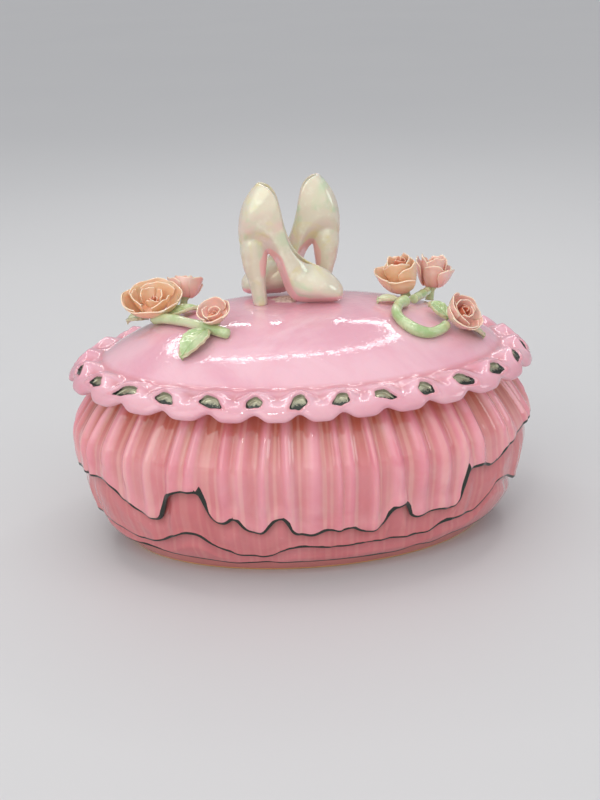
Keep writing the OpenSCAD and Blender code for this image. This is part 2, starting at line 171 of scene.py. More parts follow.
def grid_faces(nu, nv, wrap_u, wrap_v):
    i, j = np.meshgrid(np.arange(nu if wrap_u else nu - 1), np.arange(nv if wrap_v else nv - 1),
                       indexing="ij")
    i, j = i.ravel(), j.ravel()
    i2, j2 = (i + 1) % nu, (j + 1) % nv
    return np.stack([i * nv + j, i2 * nv + j, i2 * nv + j2, i * nv + j2], 1)


def grid_object(name, p, wrap_u=True, wrap_v=True, poles=None, attrs=None):
    """A skin over a grid of points (nu, nv, 3). poles closes both ends of v with a point."""
    nu, nv = p.shape[:2]
    verts = p.reshape(-1, 3)
    faces = [grid_faces(nu, nv, wrap_u, wrap_v)]
    attrs = {k: np.broadcast_to(v, (nu, nv)).ravel() for k, v in (attrs or {}).items()}
    if poles is not None:
        n = len(verts)
        verts = np.concatenate([verts, np.asarray(poles, float)])
        i = np.arange(nu)
        i2 = (i + 1) % nu
        faces.append(np.stack([np.full(nu, n), i2 * nv, i * nv], 1))
        faces.append(np.stack([np.full(nu, n + 1), i * nv + nv - 1, i2 * nv + nv - 1], 1))
        attrs = {k: np.concatenate([v, [v[0], v[-1]]]) for k, v in attrs.items()}
    return mesh_object(name, verts, faces, attrs)


def swept(name, step, prof, poles=None, attrs=None):
    """A profile of offset, height and, where it has one, size, carried round the oval."""
    p = oval(even(np.arange(0, 360, step))[:, None], *prof.T[:, None])
    return grid_object(name, p, wrap_v=poles is None, poles=poles, attrs=attrs)


def settle(ob):
    """Applies an object's modifiers."""
    dg = bpy.context.evaluated_depsgraph_get()
    me = bpy.data.meshes.new_from_object(ob.evaluated_get(dg), preserve_all_data_layers=True,
                                         depsgraph=dg)
    ob.modifiers.clear()
    ob.data = me
    me.polygons.foreach_set("use_smooth", np.ones(len(me.polygons), bool))
    return ob


def capped(name, p, attrs=None):
    """A tube over a grid of points, each end closed at its middle."""
    return grid_object(name, p, wrap_v=False, poles=[p[:, 0].mean(0), p[:, -1].mean(0)], attrs=attrs)


def sheet(name, p, wall, **attrs):
    """An open grid of points with a wall in mm and rounded edges."""
    ob = grid_object(name, p, wrap_u=False, wrap_v=False, attrs=attrs)
    m = ob.modifiers.new("wall", "SOLIDIFY")
    m.thickness, m.offset, m.use_even_offset = wall * MM, 0, True
    s = ob.modifiers.new("round", "SUBSURF")
    s.levels = s.render_levels = 1
    return settle(ob)


def points(ob):
    """An object's vertices in mm."""
    co = np.zeros(len(ob.data.vertices) * 3, np.float32)
    ob.data.vertices.foreach_get("co", co)
    return co.reshape(-1, 3) / MM


def join(name, obs):
    """One object from several that carry the same attributes."""
    verts, quads, tris, attrs, n = [], [], [], {}, 0
    for ob in obs:
        me = ob.data
        verts.append(points(ob))
        for f in me.polygons:
            (quads if len(f.vertices) == 4 else tris).append([v + n for v in f.vertices])
        for a in me.attributes:
            if a.data_type == "FLOAT" and a.domain == "POINT":
                val = np.zeros(len(me.vertices), np.float32)
                a.data.foreach_get("value", val)
                attrs.setdefault(a.name, []).append(val)
        n += len(me.vertices)
    faces = [np.array(f) for f in (quads, tris) if f]
    attrs = {k: np.concatenate(v) for k, v in attrs.items()}
    for ob in obs:
        bpy.data.objects.remove(ob)
    return mesh_object(name, np.concatenate(verts), faces, attrs)


# ---- materials
class Graph:
    """Short hand for building one material's nodes."""

    def __init__(self, name):
        self.mat = bpy.data.materials.new(name)
        self.mat.use_nodes = True
        self.t = self.mat.node_tree
        self.t.nodes.clear()
        self.out = self.t.nodes.new("ShaderNodeOutputMaterial")
        self.bsdf = self.t.nodes.new("ShaderNodeBsdfPrincipled")
        self.t.links.new(self.bsdf.outputs[0], self.out.inputs[0])
        self.coord = self.t.nodes.new("ShaderNodeTexCoord").outputs["Object"]

    def put(self, socket, value):
        if isinstance(value, bpy.types.NodeSocket):
            self.t.links.new(value, socket)
        elif isinstance(value, (tuple, list)) and len(value) == 3 and socket.type == "RGBA":
            socket.default_value = (*value, 1)
        else:
            socket.default_value = value

    def noise(self, scale, detail=3.0, rough=0.5, warp=0.0):
        n = self.t.nodes.new("ShaderNodeTexNoise")
        self.put(n.inputs["Vector"], self.coord)
        for key, value in zip(("Scale", "Detail", "Roughness", "Distortion"), (scale, detail, rough, warp)):
            n.inputs[key].default_value = value
        return n.outputs[0]

    def math(self, op, a, b=0.0, clamp=False):
        n = self.t.nodes.new("ShaderNodeMath")
        n.operation, n.use_clamp = op, clamp
        self.put(n.inputs[0], a)
        self.put(n.inputs[1], b)
        return n.outputs[0]

    def add(self, a, b, share):
        """a plus a share of b."""
        return self.math("ADD", a, self.math("MULTIPLY", b, share))

    def step(self, x, lo, hi):
        n = self.t.nodes.new("ShaderNodeMapRange")
        n.interpolation_type = "SMOOTHSTEP"
        self.put(n.inputs["Value"], x)
        self.put(n.inputs["From Min"], lo)
        self.put(n.inputs["From Max"], hi)
        return n.outputs[0]

    def attr(self, name):
        n = self.t.nodes.new("ShaderNodeAttribute")
        n.attribute_name = name
        return n.outputs["Fac"]

    def mix(self, f, a, b, kind="RGBA", first=6, out=2):
        n = self.t.nodes.new("ShaderNodeMix")
        n.data_type = kind
        for key, value in ((0, f), (first, a), (first + 1, b)):
            self.put(n.inputs[key], value)
        return n.outputs[out]

    def blend(self, f, a, b):
        return self.mix(f, a, b, "FLOAT", 2, 0)

    def bump(self, height, strength, mm):
        n = self.t.nodes.new("ShaderNodeBump")
        n.inputs["Strength"].default_value = strength
        n.inputs["Distance"].default_value = mm * MM
        self.put(n.inputs["Height"], height)
        return n.outputs[0]

    def set(self, **sockets):
        for key, value in sockets.items():
            self.put(self.bsdf.inputs[key.replace("_", " ")], value)
        return self.mat


def srgb(r, g, b):
    return tuple(((c / 255 + 0.055) / 1.055) ** 2.4 if c > 10 else c / 3294.6 for c in (r, g, b))


# ---- colours used by more than one glaze
# Lit and shaded copies of the platinum lustre: painted reflection and painted shade. The dark one stands for
# dark surroundings mirrored in the metal and for shadow in the eyelets.
LUSTRE_SHADED = srgb(38, 46, 40)
LUSTRE_LIT = srgb(178, 176, 150)
BLUSH = srgb(252, 200, 202)
CREAM = srgb(246, 206, 186)


def lustre_paint(g):
    """Painted platinum under the lustre attribute: how much, its colour, and its patches of painted
    reflection and painted shade.
    """
    ragged = g.math("SUBTRACT", g.noise(800, 3, 0.6), 0.5)
    m = g.step(g.add(g.attr("lustre"), ragged, 0.5), 0.42, 0.58)
    # Patches of the lit and the shaded lustre colour: painted reflection and painted shade.
    lustre_reflection_patch = g.step(g.add(g.attr("lustre_shade_and_reflection"), g.noise(640, 4, 0.65, 1.5), 1.1), 0.72, 0.98)
    return m, g.mix(lustre_reflection_patch, LUSTRE_LIT, LUSTRE_SHADED), lustre_reflection_patch


def pink_glaze(name, pale, deep, tint, painted=True, gloss=0.05, peel=0.06, streak=0.0):
    """Clear-coated pink glaze: pale where it runs thin, deep where it pools and where shade is painted,
    streaked down the pleats, with the surface of an orange's peel and painted lustre."""
    g = Graph(name)
    col = g.mix(g.step(g.noise(38, 4, 0.55, 0.6), 0.35, 0.68), pale, tint)
    if painted:
        # Deep colour where glaze pools and where shade is painted.
        pooled_and_shaded = g.math("MULTIPLY", g.attr("pool_and_shade"), g.blend(g.noise(60, 2), 0.8, 1.15), True)
        col = g.mix(pooled_and_shaded, col, deep)
    col = g.mix(g.math("MULTIPLY", g.step(g.noise(420, 2, 0.6), 0.62, 0.8), 0.08), col, BLUSH)
    if streak:
        run = g.step(g.add(g.attr("run"), g.noise(90, 3), 0.7), 0.7, 1.3)
        col = g.mix(g.math("MULTIPLY", run, streak), col, CREAM)
    height = g.add(g.math("MULTIPLY", g.noise(90, 2), 0.7), g.noise(470, 1, 0.5, 0.8), peel)
    rough, metal = g.blend(g.noise(150, 2), gloss, gloss + 0.05), 0.0
    if painted:
        m, lustre, lustre_reflection_patch = lustre_paint(g)
        col = g.mix(m, col, lustre)
        metal = g.math("MULTIPLY", m, 0.55)
        rough = g.blend(m, rough, g.blend(lustre_reflection_patch, 0.22, 0.36))
        height = g.add(height, m, 0.12)
    return g.set(Base_Color=col, Metallic=metal, Roughness=rough, Normal=g.bump(height, 0.35, 0.5),
                 IOR=1.5, Coat_Weight=0.5, Coat_Roughness=0.03, Coat_IOR=1.5,
                 Subsurface_Weight=0.08, Subsurface_Scale=0.002)


def pearl_glaze():
    """Mother-of-pearl white with drifting green, yellow and pink, and a pink band on the edge."""
    g = Graph("pearl_glaze")
    a, b, c = g.noise(62, 3, 0.5, 1.4), g.noise(48, 3, 0.5, 0.8), g.noise(80, 3, 0.5, 1.0)
    col = g.mix(g.step(a, 0.5, 0.68), srgb(226, 215, 194), srgb(206, 216, 184))
    col = g.mix(g.step(b, 0.5, 0.68), col, srgb(230, 204, 190))
    col = g.mix(g.step(c, 0.52, 0.7), col, srgb(230, 218, 166))
    col = g.mix(g.step(g.noise(260, 3), 0.5, 0.85), col, srgb(238, 234, 214))
    band = g.step(g.add(g.attr("band"), g.noise(260, 2), 0.3), 0.4, 0.75)
    col = g.mix(band, col, g.mix(g.noise(130, 2), srgb(242, 186, 184), srgb(240, 200, 186)))
    h = g.add(g.noise(70, 2), g.noise(800, 2), 0.05)
    return g.set(Base_Color=col, Roughness=g.blend(g.noise(180, 2), 0.08, 0.2), Metallic=0.06,
                 Normal=g.bump(h, 0.3, 0.5), IOR=1.6, Coat_Weight=0.9, Coat_Roughness=0.04,
                 Thin_Film_Thickness=380.0, Thin_Film_IOR=1.45, Subsurface_Weight=0.1,
                 Subsurface_Scale=0.002)


def clay_pad():
    """Bare clay with a grain."""
    g = Graph("clay_pad")
    grain = g.noise(700, 5, 0.7)
    col = g.mix(g.step(grain, 0.35, 0.7), srgb(226, 204, 190), srgb(196, 160, 148))
    return g.set(Base_Color=col, Roughness=g.blend(grain, 0.5, 0.75),
                 Normal=g.bump(grain, 0.7, 0.6), IOR=1.45)


def petal_glaze(name, face, heart, back):
    """Petals: deeper towards the heart, a painted cream highlight on the rim, and a green stalk where deep is
    2.
    """
    g = Graph(name)
    col = g.mix(g.step(g.attr("deep"), 0.15, 0.95), face, heart)
    col = g.mix(g.step(g.noise(130, 3, 0.5, 0.6), 0.42, 0.72), col, back)
    col = g.mix(g.step(g.attr("deep"), 1.3, 1.7), col, srgb(186, 204, 150))
    # Painted highlight: cream along the petal rims.
    rim = g.step(g.add(g.attr("rim"), g.noise(380, 2), 0.4), 0.6, 1.3)
    col = g.mix(rim, col, srgb(248, 222, 196))
    h = g.add(g.noise(190, 3), g.noise(1200, 2), 0.1)
    return g.set(Base_Color=col, Roughness=g.blend(g.noise(300, 2), 0.16, 0.3),
                 Normal=g.bump(h, 0.3, 0.4), IOR=1.52, Coat_Weight=0.6, Coat_Roughness=0.08,
                 Subsurface_Weight=0.2, Subsurface_Scale=0.0015)


def leaf_glaze():
    """Mottled green leaf with a darker, browner edge."""
    g = Graph("leaf_glaze")
    mottle = g.step(g.noise(120, 4, 0.6, 0.8), 0.38, 0.66)
    col = g.mix(mottle, srgb(204, 218, 170), srgb(164, 192, 130))
    col = g.mix(g.step(g.noise(70, 2), 0.52, 0.8), col, srgb(222, 216, 184))
    col = g.mix(g.step(g.attr("rim"), 0.5, 1.2), col, srgb(206, 190, 156))
    h = g.add(g.noise(260, 3), g.noise(1100, 2), 0.15)
    return g.set(Base_Color=col, Roughness=g.blend(g.noise(200, 2), 0.12, 0.28),
                 Normal=g.bump(h, 0.45, 0.5), IOR=1.52, Coat_Weight=0.7, Coat_Roughness=0.06,
                 Subsurface_Weight=0.1, Subsurface_Scale=0.0015)


def foot_material():
    """Glaze that thins to bare warm clay at the very edge of the foot."""
    g = Graph("foot_clay")
    bare = g.step(g.add(g.attr("bare"), g.noise(90, 3), 0.5), 0.6, 0.95)
    glaze = g.mix(g.noise(60, 3), srgb(218, 134, 132), srgb(200, 116, 108))
    body = g.mix(g.noise(260, 4), srgb(238, 184, 112), srgb(214, 146, 88))
    return g.set(Base_Color=g.mix(bare, glaze, body), Roughness=g.blend(bare, 0.08, 0.62),
                 Normal=g.bump(g.noise(300, 3), 0.25, 0.3), IOR=1.5, Coat_Weight=0.4,
                 Coat_Roughness=0.08)


# The deep colour is both pooled glaze and painted shade. For the skirt it is also painted shadow and
# reflection under the lid.
PINKS = {  # pale, deep and in-between colours, then what sets the glaze apart
    "skirt_glaze": (((238, 162, 172), (192, 104, 82), (230, 138, 152)), {"streak": 0.26}),
    "ruffle_glaze": (((230, 140, 146), (172, 82, 78), (220, 124, 130)), {"streak": 0.08}),
    "bowl_glaze": (((236, 166, 176), (214, 130, 140), (230, 154, 166)), {"painted": False}),
    "lid_glaze": (((236, 188, 200), (208, 124, 132), (228, 168, 184)), {"gloss": 0.03, "peel": 0.5}),
}
PETALS = {  # face, heart and back colours
    "peach_petal": ((240, 196, 156), (212, 142, 96), (242, 206, 176)),
    "pink_petal": ((240, 190, 174), (210, 124, 104), (244, 206, 194)),
    "rose_heart": ((232, 168, 132), (206, 112, 84), (238, 188, 156)),
}


def build_materials():
    """The materials by slot."""
    mats = {"foot_clay": foot_material(), "pearl_glaze": pearl_glaze(), "clay_pad": clay_pad(),
            "leaf_glaze": leaf_glaze()}
    for name, (colours, options) in PINKS.items():
        mats[name] = pink_glaze(name, *(srgb(*c) for c in colours), **options)
    for name, colours in PETALS.items():
        mats[name] = petal_glaze(name, *(srgb(*c) for c in colours))
    return mats


# ---- base
# Height of each hem by direction round the oval, in degrees from the right; -90 is the front
UPPER_FOLDS = [
    (-180, 34), (-165, 36), (-150, 37.5), (-147, 35), (-144, 31), (-141, 31), (-139, 28.5), (-135, 26),
    (-132, 26), (-130.4, 29), (-128.2, 37), (-126, 39.5), (-120, 40.5), (-118.8, 38), (-118.2, 32),
    (-116, 27.5), (-113.5, 27.5), (-111, 30.5), (-108.6, 25), (-106, 23.5), (-104.2, 24), (-102.6, 27),
    (-101, 30), (-99, 30), (-98.4, 26.5), (-96.8, 23), (-93, 22), (-89, 24), (-86, 23), (-83.4, 25),
    (-81.6, 22.4), (-79, 21), (-76.8, 22), (-74.6, 25), (-73.4, 30.5), (-69.6, 32), (-69, 27),
    (-67.4, 24.4), (-64.5, 25), (-60, 26), (-57, 24.4), (-54.6, 25), (-53.6, 29), (-53, 37),
    (-51.6, 39.4), (-47.5, 40), (-43, 37.2), (-39.6, 38.5), (-37, 42), (-29.5, 45), (-17, 47),
    (-5, 44), (10, 41), (18, 42), (24, 36), (30, 34), (36, 38), (41, 37), (44, 31), (50, 28), (57, 28),
    (60, 33), (66, 34), (68, 27), (76, 24), (84, 24), (88, 30), (95, 31), (97, 26), (104, 25),
    (118, 25), (121, 32), (127, 35), (134, 37), (143, 35), (147, 31), (156, 30), (168, 32)]
MIDDLE_FOLDS = [
    (-180, 17), (-165, 18), (-152, 16), (-144, 13.6), (-139, 13.8), (-134, 15.2), (-129, 19), (-126, 21),
    (-122, 21), (-119, 17), (-116, 14.5), (-111, 12), (-104, 10.8), (-102, 12.6), (-99.5, 15.4), (-96, 16),
    (-90, 15.2), (-83, 15), (-75, 15.6), (-69, 15), (-61, 15.2), (-57, 17.6), (-50, 18.2), (-44.5, 18),
    (-42.8, 22), (-40.6, 23.4), (-39, 27), (-36, 29), (-30, 27), (-24, 23), (-12, 21), (0, 20), (20, 17),
    (34, 18), (45, 15), (56, 18), (62, 18), (80, 14), (98, 17), (115, 13), (140, 15), (152, 19), (165, 18)]
LOWER_FOLDS = [
    (-180, 8), (-148, 8.6), (-130, 7.8), (-120, 7), (-115, 5.8), (-106, 6.4), (-96, 7), (-82, 6.8),
    (-67, 6.2), (-63, 8.4), (-59, 7), (-56, 6.4), (-52, 9), (-42, 8.8), (-30, 9.6), (-10, 7.4), (10, 8),
    (30, 6.4), (50, 7.6), (70, 6), (90, 7.4), (110, 6.4), (135, 8), (160, 7)]


def hem_line(u, folds, soft):
    """Height of a hem and how far each point of it must be scaled for a true distance."""
    a = even(u)
    h = around(a, folds, soft)
    run = np.hypot(*(np.roll(oval(a, 0, 0), -1, 0) - np.roll(oval(a, 0, 0), 1, 0)).T[:2])
    slope = (np.roll(h, -1) - np.roll(h, 1)) / run
    return h, 1 / np.sqrt(1 + slope ** 2)


def pleat_field(u, depth):
    """Ridges of the pressed pleats: each has its own width, height and lean."""
    rng = np.random.RandomState(11)
    out = np.zeros(np.broadcast(u, depth).shape)
    for k in range(PLEATS):
        at = (k + rng.uniform(-0.26, 0.26)) * 360 / PLEATS
        wide, tall = rng.uniform(2.1, 3.9), rng.uniform(0.5, 1.0)
        lean, peak = rng.uniform(-1.6, 1.6), rng.uniform(0.9, 1.9)
        d = (u - at - lean * (depth - 0.4) + 180) % 360 - 180
        wide = wide * (1 + 0.2 * ramp(depth, 0.4, 1.0))
        c = np.cos(np.clip(d / wide, -1, 1) * math.pi / 2)
        start, stop = rng.uniform(-0.12, 0.06), rng.uniform(0.82, 1.05)
        out = np.maximum(out, tall * c ** (2 * peak) * (0.3 + 0.7 * ramp(depth, start, start + 0.3))
                         * (1 - 0.4 * ramp(depth, stop - 0.2, stop)))
    return out


def tier(name, u, top, hem, true, outer, wall, rows, mask, pool_and_shade):
    """One closed tier: outer skin down to the hem, round the hem, and up the inside.
    outer(z, t) gives the offset of the skin, mask(d) the lustre at distance d above the hem."""
    a = even(u)[:, None]
    t = 1 - (1 - np.linspace(0, 1, rows)) ** 1.5
    z = top + (hem[:, None] - top) * t[None]
    off = outer(z, t[None])
    end_off, end_z = off[:, -1:], z[:, -1:]
    ang = np.linspace(0, math.pi, 7)[None, 1:-1]
    r = wall / 2
    round_off = end_off - r + r * np.cos(ang)
    round_z = end_z - 0.7 * r * np.sin(ang)
    ti = np.linspace(1, 0, 14)[None]
    zi = top + (hem[:, None] - top) * ti
    back = np.minimum(outer(zi, ti) - wall, off.max(1, keepdims=True))
    floor_off = np.stack([np.interp(zi[i], z[i][::-1], off[i][::-1]) for i in range(len(u))]) - wall
    offs = np.concatenate([off, round_off, np.minimum(back, floor_off)], 1)
    zs = np.concatenate([z, round_z, zi], 1)
    d = (z - hem[:, None]) * true[:, None]
    inside = np.broadcast_to(1 - ramp(1 - ti, 0, 0.12), zi.shape)
    lus = np.concatenate([mask(d), np.ones_like(round_z), inside], 1)
    pool_and_shade_map = np.concatenate([pool_and_shade(z, t[None]), np.zeros_like(round_z), np.zeros_like(zi)], 1)
    rng = np.random.RandomState(rows)
    run = waves(rng, u, (43, 71, 109, 151, 197)) / 7 + 0.5
    # The hem lines take the shaded lustre colour all along: painted dark reflection.
    attrs = {"lustre": lus, "pool_and_shade": pool_and_shade_map, "lustre_shade_and_reflection": np.ones_like(pool_and_shade_map), "run": unit(run)[:, None]}
    return grid_object(name, oval(a, offs, zs), attrs=attrs)


def waves(rng, u, counts, lo=1.0, hi=1.0):
    """Sum of waves round the oval, each with its own start and, with lo and hi, its own height."""
    return sum((rng.uniform(lo, hi) if hi > lo else lo)
               * np.sin(np.radians(k * u + rng.uniform(0, 360))) for k in counts)


def stroke(u, seed, lo, hi, ticks=0):
    """Hand-painted line: its width wanders between lo and hi millimetres, with a few
    fine ticks where the brush was lifted."""
    rng = np.random.RandomState(seed)
    s = waves(rng, u, (5, 9, 14, 23, 37, 61), 0.4, 1.0)
    s = (s - s.min()) / (s.max() - s.min())
    w = lo + (hi - lo) * s ** 1.8
    for _ in range(ticks):
        at, tall = rng.uniform(0, 360), rng.uniform(0.3, 0.9)
        w = w + tall * bell((u - at + 180) % 360 - 180, 0.12)
    return w


def painted(width):
    """Share of lustre at a distance above the hem, under a stroke of this width."""
    return lambda d: 1 - ramp(d, width[:, None] * 0.75, width[:, None] * 1.25)


def shaded(hem, reach, least, more):
    """Painted shade, with pooled glaze, just under the hem of the tier above."""
    return lambda z, t: least + more * ramp(z, hem[:, None] - reach, hem[:, None])


def build_skirt(u, hem1, true1):
    """Tall pleated tier. Its hem rolls out over the arches and on the drops between them."""
    calm = np.stack([np.roll(hem1, s) for s in range(-50, 51, 2)]).mean(0)
    arch = unit((hem1 - calm) / 6)[:, None]
    drop = unit((calm - hem1) / 5)[:, None]

    def pleats(z):
        depth = (SKIRT_TOP - z) / (SKIRT_TOP - hem1[:, None])
        return pleat_field(u[:, None], unit(depth))

    def outer(z, t):
        near = z - hem1[:, None]
        roll = bell(near - 2.2, 2.6)
        return (env(z) + 2.2 * pleats(z) - 0.35 + 0.55 * ramp(-near, -7, -1)
                + roll * (0.75 * arch + 0.45 * drop) - 0.5 * ramp(-near, -1.2, 0.0) * drop)

    # Deep colour in the pleat valleys, partly pooled glaze and partly painted shade. It grows stronger
    # towards the top, where it is painted shadow and reflection under the lid's overhang.
    def pool_and_shade(z, t):
        low = 1 - unit(pleats(z) * 1.7)
        near_hem = ramp(-(z - hem1[:, None]), -9, -2)
        return unit(low * (0.35 + 0.6 * ramp(z, 46, 66)) * (1 - 0.3 * near_hem)
                       + 0.3 * ramp(z, 58, 68))

    width = stroke(u, 3, 0.5, 1.15, 12) + 1.0 * (1 - true1)
    return tier("skirt_pleated", u, SKIRT_TOP, hem1, true1, outer, 1.3, 70, painted(width), pool_and_shade)


def build_middle(u, hem1, hem2, true2):
    """Middle tier: it swells below the skirt's hem, with slight waves and soft folds."""
    swell = waves(np.random.RandomState(5), u, (11, 17, 26, 41), 0.1, 0.3)[:, None]

    def outer(z, t):
        open_ = ramp(hem1[:, None] - 0.8 - z, 0, 9)
        fold = pleat_field(u[:, None] + 2.5, np.clip((hem1[:, None] - z) / 26, 0.1, 0.9))
        return (env(z) - 1.7 + open_ * (1.0 + 0.8 * swell + 0.5 * fold)
                + 0.35 * ramp(z - hem2[:, None], 3, 0))

    return tier("ruffle_middle", u, MIDDLE_TOP, hem2, true2, outer, 1.3, 44,
                painted(stroke(u, 8, 0.28, 1.3)), shaded(hem1, 5, 0.35, 0.45))


def build_lower(u, hem2, hem3, true3):
    """Lowest tier, nearly flat, coming out from under the middle one."""
    def outer(z, t):
        return env(z) - 3.2 + 2.75 * ramp(hem2[:, None] - 0.6 - z, 0, 7)

    return tier("ruffle_lower", u, LOWER_TOP, hem3, true3, outer, 1.2, 36,
                painted(stroke(u, 21, 0.22, 0.8)), shaded(hem2, 3, 0.3, 0.4))


def build_foot():
    """Foot band, its lowest edge wiped bare."""
    prof = spline([(-13.9, 0.0), (-13.4, 0.5), (-11.6, 3), (-9.9, 6), (-9.2, 9), (-9.5, 13.2), (-11.4, 13.4),
                   (-13.3, 8.2), (-16.4, 4.2), (-18.7, 3.9), (-19, 3.4), (-19, 0.5), (-18.4, 0.0)], 80)
    prof[:, 1] = np.maximum(prof[:, 1], 0)
    return swept("foot_band", 1, prof, attrs={"bare": (1 - ramp(prof[:, 1], 0.3, 1.5))[None]})


def build_bowl():
    """Cast bowl from profiles of offset, height and size: outside up to the rim, then inside."""
    outer = [(-19.4, 4.2, 0.04), (-19.4, 4.2, 0.5), (-19.4, 4.2, 0.97), (-16.9, 4.4, 1), (-13.9, 8.1, 1),
             (-12.2, 13.4, 1), (-9.4, 14, 1), (-5.6, 21, 1), (-3.6, 26, 1), (-1.9, 26.8, 1),
             (-0.3, 37, 1), (0.1, 45, 1), (-0.2, 50, 1), (-2.6, 57.8, 1), (-7.7, 63.8, 1),
             (-12.2, 68.8, 1), (-12.9, 69.5, 1)]
    inner = [(-13.8, 69.7, 1), (-16.6, 69.7, 1), (-17.4, 69.2, 1), (-17.5, 64, 1), (-14, 60, 1),
             (-8, 54.5, 1), (-4.6, 45, 1), (-5, 34, 1), (-8.5, 22, 1), (-14.5, 12.5, 1), (-18, 9, 1),
             (-21, 8, 0.97), (-21, 8, 0.5), (-21, 8, 0.04)]
    prof = spline(outer + inner, 180)
    return swept("bowl_cast", 1.25, prof, [(0, 0, 4.2), (0, 0, 8)])


# ---- lid
def eyelet_shape(u_phase, seed_of, ds):
    """Distance from an eyelet's middle as a share of its size (1 is the edge), and how
    far up the eyelet a point is. Every eyelet is cut by hand, so each is skewed its own way."""
    par = np.random.RandomState(17).uniform(-1, 1, (SCALLOPS, 7))[seed_of]
    wide, tall, turn, shift, shear, peak, dent = par.T[:, :, None]
    du = (u_phase * EYELET_PITCH / 360)[:, None] - 0.35 * shift
    wu, ws = EYELET_HALF_WIDTH * (1 + 0.16 * wide), EYELET_HALF_HEIGHT * (1 + 0.16 * tall)
    x = du / wu + 0.35 * shear * ds / EYELET_HALF_HEIGHT
    y = ds / ws + 0.3 * shear * du / wu + 0.12
    flat = np.where(y > 0, y * (1.1 + 0.25 * peak), y)
    ang = np.arctan2(flat, x)
    outline = (1 + 0.08 * np.cos(3 * ang + 1.57 + 0.7 * turn) + 0.06 * np.cos(5 * ang + 3 * dent)
               - 0.1 * bell(x - 0.25 * dent, 0.3) * (y > 0.4))
    return np.hypot(x, flat) * outline, y


def build_lid():
    """Dome, scalloped border with its pressed eyelets, and the underside, as one fired skin."""
    per, rows, middle_off, past_lip = 60, 132, 1.0, 82
    n = SCALLOPS * per
    s = np.arange(n)
    cell, ph = s // per, (s % per) / per * 360 - 180
    a = even((cell + 0.5 + ph / 360) * 360 / SCALLOPS - 90)
    size = np.random.RandomState(29).uniform(0.8, 1.15, SCALLOPS)
    big = np.interp((s / per) % SCALLOPS, np.arange(SCALLOPS + 1), np.append(size, size[0]))
    c = np.cos(np.radians(ph))
    brow = c * big                                          # arched brow over each eyelet
    notch = (2 * (0.5 + 0.5 * c) ** 2.4 - 0.75) * big       # narrow notch under it, broad lobe between
    crease = unit(-c) ** 3 * big                            # crease between two brows
    o = np.ones(n)

    def at(off, z):
        return np.stack([off * o, z * o], -1)

    border = spline([at(-9, 76.0), at(-7.4, 75.3 + 0.3 * brow), at(-5.0, 75.5 + 0.8 * brow - 0.3 * crease),
                     at(-2.8, 75.7 + 1.05 * brow - 0.4 * crease), at(-0.8, 75.1 + 0.9 * brow - 0.3 * crease),
                     at(1.1, 73.7 + 0.35 * brow), at(2.9 - 0.3 * notch, 72.1 + 0.2 * notch),
                     at(4.0 - 0.7 * notch, 70.5 + 0.5 * notch), at(4.05 - 0.95 * notch, 69.1 + 0.85 * notch),
                     at(2.6 - 0.9 * notch, 68.3 + 0.95 * notch), at(0.2, 69.1 + 0.6 * notch), at(-4.2, 70.9),
                     at(-8.6, 70.9), at(-11, 70.3), at(-12.5, 70.02)], rows)
    flat = border[..., 0].T                                 # offsets before the eyelets are pressed
    off, z = flat, border[..., 1].T
    step = np.hypot(np.diff(off, axis=1), np.diff(z, axis=1))
    arc = np.concatenate([np.zeros((n, 1)), np.cumsum(step, 1)], 1)
    mid = np.argmin(np.abs(flat[0] - middle_off) + (np.arange(rows) > rows // 2 + 4) * 99)
    along = arc - arc[:, mid:mid + 1]
    q, up = eyelet_shape(ph, cell, along)
    q[:, past_lip:] = 9
    tan_o, tan_z = np.gradient(off, axis=1), np.gradient(z, axis=1)
    length = np.hypot(tan_o, tan_z) + 1e-9
    deep = (1.8 - 0.5 * np.clip(up, -1, 1)) * (1 - ramp(q, 0.78, 1.06)) - 0.2 * bell(q - 1.3, 0.2)
    off = off + tan_z / length * deep
    z = z - tan_o / length * deep
    k = np.concatenate([np.linspace(0.02, 0.9, 46), np.linspace(0.915, 0.985, 8)])
    dome = oval(a[:, None], DOME_OFF, DOME_Z + DOME_RISE * (1 - k ** DOME_POWER)[None], k[None])
    rim = oval(a[:, None], off, z)
    under = spline([(-12.5, 70.0, 1), (-16, 70, 1), (-21.3, 70, 1), (-22.2, 71.2, 1), (-22, 73.5, .96),
                    (-22, 79, .84), (-22, 83.6, .66), (-22, 86.4, .4), (-22, 87.4, .15),
                    (-22, 87.6, .02)], 60)[1:]
    inside = oval(a[:, None], *under.T[:, None])
    p = np.concatenate([dome, rim, inside], 1)
    none, back = np.zeros(dome.shape[:2]), np.zeros(inside.shape[:2])
    lus = np.concatenate([none, 1 - ramp(q, 0.84, 1.06), back], 1)
    # Painted shade in the eyelets: darker towards their upper side, under the brow, and towards their edge.
    lustre_shade_and_reflection = np.concatenate([none, unit(0.2 + 0.6 * up + 0.6 * ramp(q, 0.8, 1.0)), back], 1)
    # Deep colour in the creases between brows, along the seam with the dome, round each eyelet, over the
    # outer lip and on the underside: pooled glaze and painted shade.
    crease_pool_and_shade = (unit(-c)[:, None] * bell(flat + 3.2, 2.6) * 0.6 + ramp(flat, 0, 4) * 0.3
              + bell(flat + 8.0, 1.2) * 0.55 + bell(q - 1.12, 0.16) * 0.4)
    pool_and_shade = np.concatenate([none, unit(crease_pool_and_shade), back + 0.4], 1)
    return grid_object("lid_shell", p, wrap_v=False, poles=[(0, 0, DOME_Z + DOME_RISE), (0, 0, 87.6)],
                       attrs={"lustre": lus, "pool_and_shade": pool_and_shade, "lustre_shade_and_reflection": lustre_shade_and_reflection})


def build_locating_ring():
    """Ring under the lid that keeps it centred in the bowl's mouth."""
    o = MOUTH_OFF - 0.8
    prof = spline([(o, 69.9), (o, 67), (o, 64.8), (o - 0.9, 64.05), (o - 2, 64.05), (o - 2.7, 64.8),
                   (o - 2.8, 67), (o - 3, 69.9)], 40)
    return swept("locating_ring", 1.5, prof)


